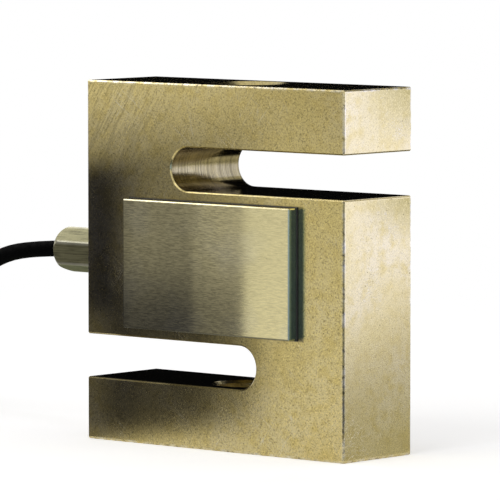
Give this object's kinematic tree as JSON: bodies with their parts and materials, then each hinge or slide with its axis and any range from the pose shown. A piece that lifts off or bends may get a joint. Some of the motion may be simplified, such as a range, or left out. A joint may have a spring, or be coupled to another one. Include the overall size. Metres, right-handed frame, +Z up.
{
  "type": "s type load cell",
  "caption": "S-shaped steel load cell with threaded load holes top and bottom, bonded cover plates and a side cable gland.",
  "frame": {"origin": "where the load axis meets the bottom face", "axes": "+Z up along the load axis, +X along the width towards the open side of the upper slot, -Y towards the front cover; the cable leaves towards -X"},
  "size_m": [0.2563, 0.0526, 0.1],
  "materials": {
    "plated_steel": "nickel-plated tool steel, satin milled with fine specks",
    "cover_steel": "nickel-plated steel plate, long horizontal brushing",
    "gland_steel": "nickel-plated turned hexagon",
    "washer_steel": "plain steel",
    "sealant": "dark cured sealant, matt",
    "bush_rubber": "black rubber",
    "gauge_film": "amber polyimide film",
    "gauge_foil": "constantan foil",
    "board_green": "green circuit board",
    "copper": "copper pads and fine wires",
    "solder": "tinned, bright",
    "chip": "black chip resistor",
    "jacket_black": "black cable jacket, semi-matt",
    "tie_black": "black woven strap",
    "core_red": "red core insulation",
    "core_green": "green core insulation",
    "core_white": "white core insulation",
    "core_black": "black core insulation"
  },
  "bodies": {
    "root": {"s_block": "plated_steel", "front_cover": "cover_steel", "rear_cover": "cover_steel", "front_cover_seal": "sealant", "rear_cover_seal": "sealant", "front_gauge_film": "gauge_film", "rear_gauge_film": "gauge_film", "front_gauge_foil": "gauge_foil", "rear_gauge_foil": "gauge_foil", "terminal_board": "board_green", "terminal_pads": "copper", "trim_resistors": "chip", "solder_joints": "solder", "front_gauge_wires": "copper", "rear_gauge_wires": "copper", "gland_screw": "gland_steel", "gland_washers": "washer_steel", "gland_bush": "bush_rubber", "cable_tail": "jacket_black", "cable_cord": "jacket_black", "cable_hank": "jacket_black", "hank_tie": "tie_black", "wire_red": "core_red", "wire_green": "core_green", "wire_white": "core_white", "wire_black": "core_black", "lead_red": "core_red", "lead_green": "core_green", "lead_white": "core_white", "lead_black": "core_black", "lead_tips": "solder", "drain_wire": "solder"}
  },
  "joints": []
}
